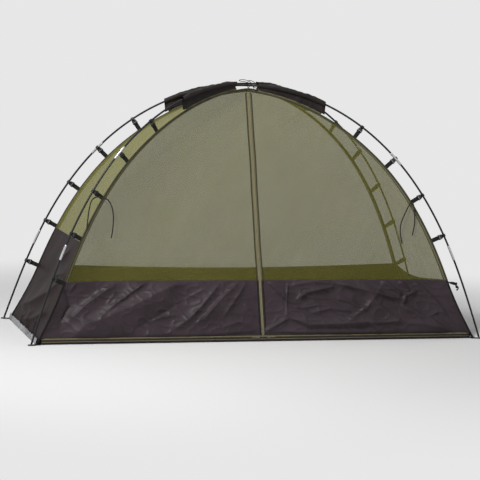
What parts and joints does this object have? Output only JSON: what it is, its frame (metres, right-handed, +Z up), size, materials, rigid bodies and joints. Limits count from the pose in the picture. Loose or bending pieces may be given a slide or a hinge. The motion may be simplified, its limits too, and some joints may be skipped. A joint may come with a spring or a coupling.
{
  "type": "mosquito net tent",
  "caption": "Free-standing low arch net tent for a sleeper, on crossed shock-corded poles with hook clips, sleeves, dark lower walls and zipped front doors",
  "frame": {"origin": "on the ground under the crossing of the poles, at the middle of the floor", "axes": "+X along the tent's length towards its right end, -Y the front with the doors, +Z up"},
  "size_m": [2.1862, 0.7968, 1.1915],
  "materials": {
    "pole": "glossy black fibreglass with a slight bow",
    "shock_cord": "woven elastic cord",
    "clip": "satin black moulded plastic",
    "sleeve": "black coated cloth",
    "binding": "dark olive binding tape",
    "zip_slider": "dull metal zip slider and pull",
    "tape": "narrow black woven tape",
    "apex_cord": "thin black and olive cord",
    "net": "fine olive mosquito net, see-through",
    "coated_cloth": "dark aubergine coated nylon with a satin sheen"
  },
  "bodies": {
    "tent": {"pole_a_section_1": "pole", "pole_a_section_2": "pole", "pole_a_section_3": "pole", "pole_a_section_4": "pole", "pole_a_section_5": "pole", "pole_a_section_6": "pole", "pole_a_section_7": "pole", "pole_a_shock_cord": "shock_cord", "pole_b_section_1": "pole", "pole_b_section_2": "pole", "pole_b_section_3": "pole", "pole_b_section_4": "pole", "pole_b_section_5": "pole", "pole_b_section_6": "pole", "pole_b_section_7": "pole", "pole_b_shock_cord": "shock_cord", "sleeve_front_left": "sleeve", "sleeve_rear_right": "sleeve", "sleeve_rear_left": "sleeve", "sleeve_front_right": "sleeve", "arch_seam_a": "binding", "arch_seam_b": "binding", "groundsheet": "coated_cloth", "net_left": "net", "net_right": "net", "net_rear": "net", "wall_left": "coated_cloth", "wall_rear_and_right": "coated_cloth", "door_left_margin": "net", "door_right_margin": "net", "apex_tie": "apex_cord", "tie_tape_left": "tape", "tie_tape_right": "tape"},
    "door_left": {"door_left_net": "net", "door_left_wall": "coated_cloth"},
    "door_right": {"door_right_net": "net", "door_right_wall": "coated_cloth"},
    "slider_centre_body": {"slider_centre": "zip_slider"},
    "slider_left_body": {"slider_left": "zip_slider"},
    "slider_right_body": {"slider_right": "zip_slider"},
    "clip_front_left_1_body": {"clip_front_left_1": "clip"},
    "clip_front_left_2_body": {"clip_front_left_2": "clip"},
    "clip_front_left_3_body": {"clip_front_left_3": "clip"},
    "clip_front_left_4_body": {"clip_front_left_4": "clip"},
    "clip_front_left_5_body": {"clip_front_left_5": "clip"},
    "clip_rear_right_1_body": {"clip_rear_right_1": "clip"},
    "clip_rear_right_2_body": {"clip_rear_right_2": "clip"},
    "clip_rear_right_3_body": {"clip_rear_right_3": "clip"},
    "clip_rear_right_4_body": {"clip_rear_right_4": "clip"},
    "clip_rear_right_5_body": {"clip_rear_right_5": "clip"},
    "clip_rear_left_1_body": {"clip_rear_left_1": "clip"},
    "clip_rear_left_2_body": {"clip_rear_left_2": "clip"},
    "clip_rear_left_3_body": {"clip_rear_left_3": "clip"},
    "clip_rear_left_4_body": {"clip_rear_left_4": "clip"},
    "clip_rear_left_5_body": {"clip_rear_left_5": "clip"},
    "clip_front_right_1_body": {"clip_front_right_1": "clip"},
    "clip_front_right_2_body": {"clip_front_right_2": "clip"},
    "clip_front_right_3_body": {"clip_front_right_3": "clip"},
    "clip_front_right_4_body": {"clip_front_right_4": "clip"},
    "clip_front_right_5_body": {"clip_front_right_5": "clip"}
  },
  "joints": [
    {"name": "door_left_swing", "type": "hinge", "parent": "tent", "child": "door_left", "pos_m": [-1.04938, -0.37478, 0.0025], "axis": [-0.6598, -0.2356, -0.7135], "range_deg": [0, 105]},
    {"name": "door_right_swing", "type": "hinge", "parent": "tent", "child": "door_right", "pos_m": [1.04938, -0.37478, 0.0025], "axis": [-0.6598, 0.2356, 0.7135], "range_deg": [0, 105]},
    {"name": "slider_centre_run", "type": "slide", "parent": "door_left", "child": "slider_centre_body", "axis": [0, 0.3136, 0.9496], "range_m": [0, 1.11]},
    {"name": "slider_left_run", "type": "slide", "parent": "tent", "child": "slider_left_body", "axis": [-1, 0, 0], "range_m": [0, 0.97]},
    {"name": "slider_right_run", "type": "slide", "parent": "tent", "child": "slider_right_body", "axis": [1, 0, 0], "range_m": [0, 0.97]},
    {"name": "clip_front_left_1_turn", "type": "hinge", "parent": "tent", "child": "clip_front_left_1_body", "pos_m": [-0.50001, -0.17858, 0.97178], "axis": [-0.7676, -0.2741, -0.5793], "range_deg": [0, 100]},
    {"name": "clip_front_left_2_turn", "type": "hinge", "parent": "tent", "child": "clip_front_left_2_body", "pos_m": [-0.65143, -0.23265, 0.83281], "axis": [-0.6467, -0.231, -0.727], "range_deg": [0, 100]},
    {"name": "clip_front_left_3_turn", "type": "hinge", "parent": "tent", "child": "clip_front_left_3_body", "pos_m": [-0.77523, -0.27687, 0.66445], "axis": [-0.5251, -0.1875, -0.8301], "range_deg": [0, 100]},
    {"name": "clip_front_left_4_turn", "type": "hinge", "parent": "tent", "child": "clip_front_left_4_body", "pos_m": [-0.87636, -0.31299, 0.47859], "axis": [-0.4205, -0.1502, -0.8948], "range_deg": [0, 100]},
    {"name": "clip_front_left_5_turn", "type": "hinge", "parent": "tent", "child": "clip_front_left_5_body", "pos_m": [-0.95832, -0.34226, 0.28097], "axis": [-0.3457, -0.1235, -0.9302], "range_deg": [0, 100]},
    {"name": "clip_rear_right_1_turn", "type": "hinge", "parent": "tent", "child": "clip_rear_right_1_body", "pos_m": [0.50001, 0.17858, 0.97178], "axis": [0.7676, 0.2741, -0.5793], "range_deg": [0, 100]},
    {"name": "clip_rear_right_2_turn", "type": "hinge", "parent": "tent", "child": "clip_rear_right_2_body", "pos_m": [0.65143, 0.23265, 0.83281], "axis": [0.6467, 0.231, -0.727], "range_deg": [0, 100]},
    {"name": "clip_rear_right_3_turn", "type": "hinge", "parent": "tent", "child": "clip_rear_right_3_body", "pos_m": [0.77523, 0.27687, 0.66445], "axis": [0.5251, 0.1875, -0.8301], "range_deg": [0, 100]},
    {"name": "clip_rear_right_4_turn", "type": "hinge", "parent": "tent", "child": "clip_rear_right_4_body", "pos_m": [0.87636, 0.31299, 0.47859], "axis": [0.4205, 0.1502, -0.8948], "range_deg": [0, 100]},
    {"name": "clip_rear_right_5_turn", "type": "hinge", "parent": "tent", "child": "clip_rear_right_5_body", "pos_m": [0.95832, 0.34226, 0.28097], "axis": [0.3457, 0.1235, -0.9302], "range_deg": [0, 100]},
    {"name": "clip_rear_left_1_turn", "type": "hinge", "parent": "tent", "child": "clip_rear_left_1_body", "pos_m": [-0.50001, 0.17858, 0.96391], "axis": [0.7676, -0.2741, 0.5793], "range_deg": [0, 100]},
    {"name": "clip_rear_left_2_turn", "type": "hinge", "parent": "tent", "child": "clip_rear_left_2_body", "pos_m": [-0.65143, 0.23265, 0.82608], "axis": [0.6467, -0.231, 0.727], "range_deg": [0, 100]},
    {"name": "clip_rear_left_3_turn", "type": "hinge", "parent": "tent", "child": "clip_rear_left_3_body", "pos_m": [-0.77523, 0.27687, 0.65907], "axis": [0.5251, -0.1875, 0.8301], "range_deg": [0, 100]},
    {"name": "clip_rear_left_4_turn", "type": "hinge", "parent": "tent", "child": "clip_rear_left_4_body", "pos_m": [-0.87636, 0.31299, 0.4747], "axis": [0.4205, -0.1502, 0.8948], "range_deg": [0, 100]},
    {"name": "clip_rear_left_5_turn", "type": "hinge", "parent": "tent", "child": "clip_rear_left_5_body", "pos_m": [-0.95832, 0.34226, 0.27867], "axis": [0.3457, -0.1235, 0.9302], "range_deg": [0, 100]},
    {"name": "clip_front_right_1_turn", "type": "hinge", "parent": "tent", "child": "clip_front_right_1_body", "pos_m": [0.50001, -0.17858, 0.96391], "axis": [-0.7676, 0.2741, 0.5793], "range_deg": [0, 100]},
    {"name": "clip_front_right_2_turn", "type": "hinge", "parent": "tent", "child": "clip_front_right_2_body", "pos_m": [0.65143, -0.23265, 0.82608], "axis": [-0.6467, 0.231, 0.727], "range_deg": [0, 100]},
    {"name": "clip_front_right_3_turn", "type": "hinge", "parent": "tent", "child": "clip_front_right_3_body", "pos_m": [0.77523, -0.27687, 0.65907], "axis": [-0.5251, 0.1875, 0.8301], "range_deg": [0, 100]},
    {"name": "clip_front_right_4_turn", "type": "hinge", "parent": "tent", "child": "clip_front_right_4_body", "pos_m": [0.87636, -0.31299, 0.4747], "axis": [-0.4205, 0.1502, 0.8948], "range_deg": [0, 100]},
    {"name": "clip_front_right_5_turn", "type": "hinge", "parent": "tent", "child": "clip_front_right_5_body", "pos_m": [0.96342, -0.34408, 0.25653], "axis": [-0.3363, -0.9417, 0], "range_deg": [-25, 60]}
  ]
}
